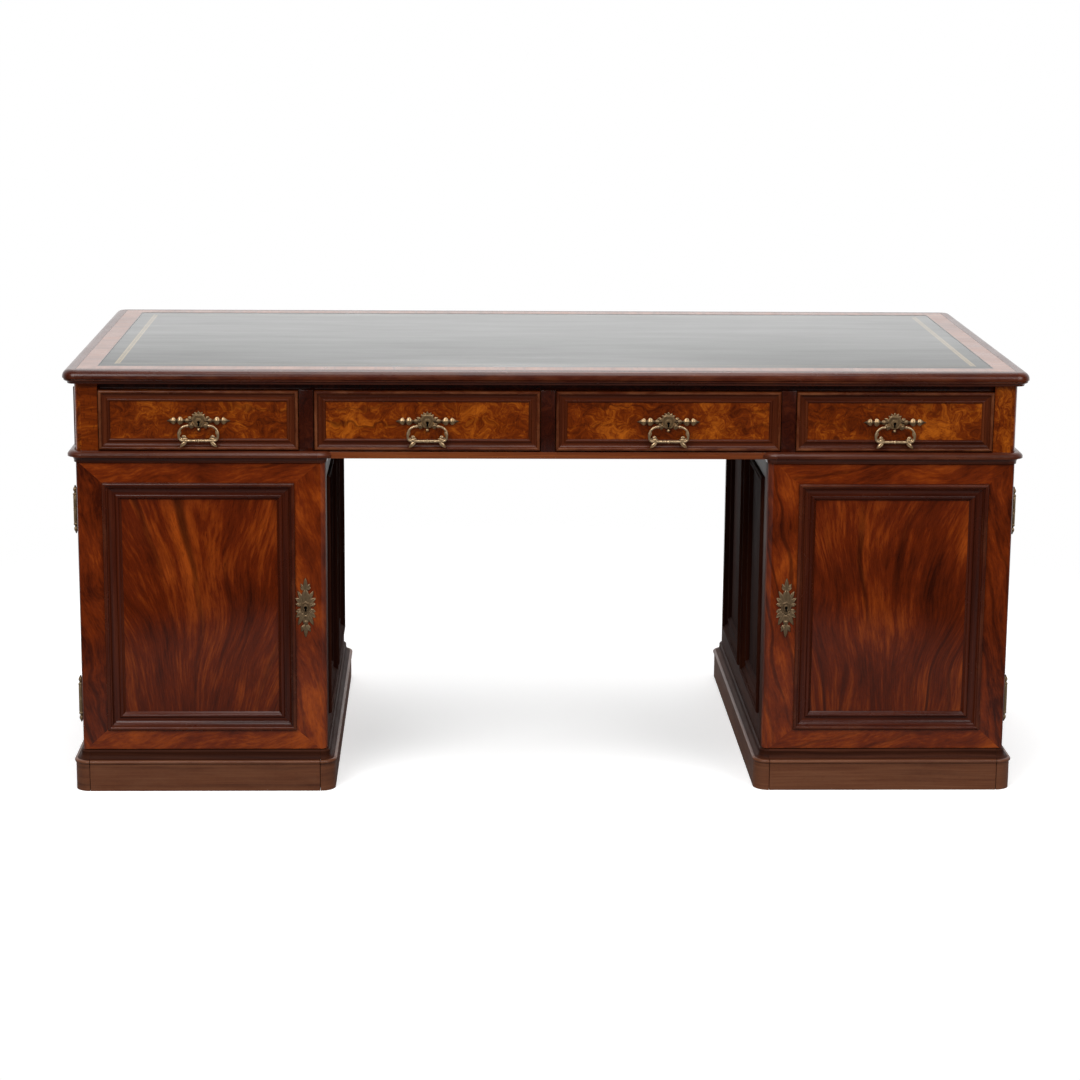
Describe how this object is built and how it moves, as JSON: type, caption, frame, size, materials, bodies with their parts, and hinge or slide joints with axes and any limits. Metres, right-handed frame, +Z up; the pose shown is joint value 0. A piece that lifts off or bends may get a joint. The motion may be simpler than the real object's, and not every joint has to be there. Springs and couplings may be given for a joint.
{
  "type": "pedestal desk",
  "caption": "Walnut pedestal desk: leather-inlaid moulded top over a frieze of drawers with brass bail handles, on cupboard pedestals with panelled doors and moulded plinths.",
  "frame": {"origin": "on the floor, under the middle of the desk", "axes": "+X to the right as seen from the drawer side, +Y from the drawers to the back, +Z up"},
  "size_m": [1.74, 0.85, 0.782],
  "materials": {
    "leather": "worn, softly polished",
    "border_walnut": "French polish",
    "moulding_walnut": "French polish",
    "frame_walnut": "French polish",
    "side_walnut": "French polish",
    "panel_walnut": "French polish",
    "drawer_oak": "bare, aged",
    "brass": "aged",
    "lock_iron": "dull"
  },
  "bodies": {
    "desk": {"writing_leather": "leather", "top_board": "border_walnut", "top_edge_moulding": "moulding_walnut", "frieze_front_frame": "frame_walnut", "frieze_ends_and_back": "frame_walnut", "drawer_runners": "drawer_oak", "waist_mouldings": "moulding_walnut", "case_hinges": "brass", "left_outer_side": "side_walnut", "left_inner_side": "side_walnut", "left_back": "side_walnut", "left_case_boards": "drawer_oak", "left_plinth": "moulding_walnut", "right_outer_side": "side_walnut", "right_inner_side": "side_walnut", "right_back": "side_walnut", "right_case_boards": "drawer_oak", "right_plinth": "moulding_walnut"},
    "left_door": {"left_door_frame": "frame_walnut", "left_door_panel": "panel_walnut", "left_door_moulding": "moulding_walnut", "left_door_escutcheon": "brass", "left_door_lock": "lock_iron", "left_door_hinges": "brass"},
    "left_door_bolt": {"left_door_lock_bolt": "lock_iron"},
    "right_door": {"right_door_frame": "frame_walnut", "right_door_panel": "panel_walnut", "right_door_moulding": "moulding_walnut", "right_door_escutcheon": "brass", "right_door_lock": "lock_iron", "right_door_hinges": "brass"},
    "right_door_bolt": {"right_door_lock_bolt": "lock_iron"},
    "drawer_1": {"drawer_1_front": "panel_walnut", "drawer_1_box": "drawer_oak", "drawer_1_moulding": "moulding_walnut", "drawer_1_handle_plate": "brass", "drawer_1_lock": "lock_iron"},
    "drawer_1_bail_body": {"drawer_1_bail": "brass"},
    "drawer_1_bolt": {"drawer_1_lock_bolt": "lock_iron"},
    "drawer_2": {"drawer_2_front": "panel_walnut", "drawer_2_box": "drawer_oak", "drawer_2_moulding": "moulding_walnut", "drawer_2_handle_plate": "brass", "drawer_2_lock": "lock_iron"},
    "drawer_2_bail_body": {"drawer_2_bail": "brass"},
    "drawer_2_bolt": {"drawer_2_lock_bolt": "lock_iron"},
    "drawer_3": {"drawer_3_front": "panel_walnut", "drawer_3_box": "drawer_oak", "drawer_3_moulding": "moulding_walnut", "drawer_3_handle_plate": "brass", "drawer_3_lock": "lock_iron"},
    "drawer_3_bail_body": {"drawer_3_bail": "brass"},
    "drawer_3_bolt": {"drawer_3_lock_bolt": "lock_iron"},
    "drawer_4": {"drawer_4_front": "panel_walnut", "drawer_4_box": "drawer_oak", "drawer_4_moulding": "moulding_walnut", "drawer_4_handle_plate": "brass", "drawer_4_lock": "lock_iron"},
    "drawer_4_bail_body": {"drawer_4_bail": "brass"},
    "drawer_4_bolt": {"drawer_4_lock_bolt": "lock_iron"}
  },
  "joints": [
    {"name": "left_door_hinge", "type": "hinge", "parent": "desk", "child": "left_door", "pos_m": [-0.8549, -0.3807, 0.344], "axis": [0, 0, -1], "range_deg": [0, 170]},
    {"name": "left_door_bolt_slide", "type": "slide", "parent": "left_door", "child": "left_door_bolt", "axis": [1, 0, 0], "range_m": [0, 0.01]},
    {"name": "right_door_hinge", "type": "hinge", "parent": "desk", "child": "right_door", "pos_m": [0.8549, -0.3807, 0.344], "axis": [0, 0, 1], "range_deg": [0, 170]},
    {"name": "right_door_bolt_slide", "type": "slide", "parent": "right_door", "child": "right_door_bolt", "axis": [-1, 0, 0], "range_m": [0, 0.01]},
    {"name": "drawer_1_slide", "type": "slide", "parent": "desk", "child": "drawer_1", "axis": [0, -1, 0], "range_m": [0, 0.38]},
    {"name": "drawer_1_bail_hinge", "type": "hinge", "parent": "drawer_1", "child": "drawer_1_bail_body", "pos_m": [-0.628, -0.4135, 0.681], "axis": [-1, 0, 0], "range_deg": [0, 95]},
    {"name": "drawer_1_bolt_slide", "type": "slide", "parent": "drawer_1", "child": "drawer_1_bolt", "axis": [0, 0, 1], "range_m": [0, 0.008]},
    {"name": "drawer_2_slide", "type": "slide", "parent": "desk", "child": "drawer_2", "axis": [0, -1, 0], "range_m": [0, 0.38]},
    {"name": "drawer_2_bail_hinge", "type": "hinge", "parent": "drawer_2", "child": "drawer_2_bail_body", "pos_m": [-0.2175, -0.4135, 0.681], "axis": [-1, 0, 0], "range_deg": [0, 95]},
    {"name": "drawer_2_bolt_slide", "type": "slide", "parent": "drawer_2", "child": "drawer_2_bolt", "axis": [0, 0, 1], "range_m": [0, 0.008]},
    {"name": "drawer_3_slide", "type": "slide", "parent": "desk", "child": "drawer_3", "axis": [0, -1, 0], "range_m": [0, 0.38]},
    {"name": "drawer_3_bail_hinge", "type": "hinge", "parent": "drawer_3", "child": "drawer_3_bail_body", "pos_m": [0.2175, -0.4135, 0.681], "axis": [-1, 0, 0], "range_deg": [0, 95]},
    {"name": "drawer_3_bolt_slide", "type": "slide", "parent": "drawer_3", "child": "drawer_3_bolt", "axis": [0, 0, 1], "range_m": [0, 0.008]},
    {"name": "drawer_4_slide", "type": "slide", "parent": "desk", "child": "drawer_4", "axis": [0, -1, 0], "range_m": [0, 0.38]},
    {"name": "drawer_4_bail_hinge", "type": "hinge", "parent": "drawer_4", "child": "drawer_4_bail_body", "pos_m": [0.628, -0.4135, 0.681], "axis": [-1, 0, 0], "range_deg": [0, 95]},
    {"name": "drawer_4_bolt_slide", "type": "slide", "parent": "drawer_4", "child": "drawer_4_bolt", "axis": [0, 0, 1], "range_m": [0, 0.008]}
  ]
}
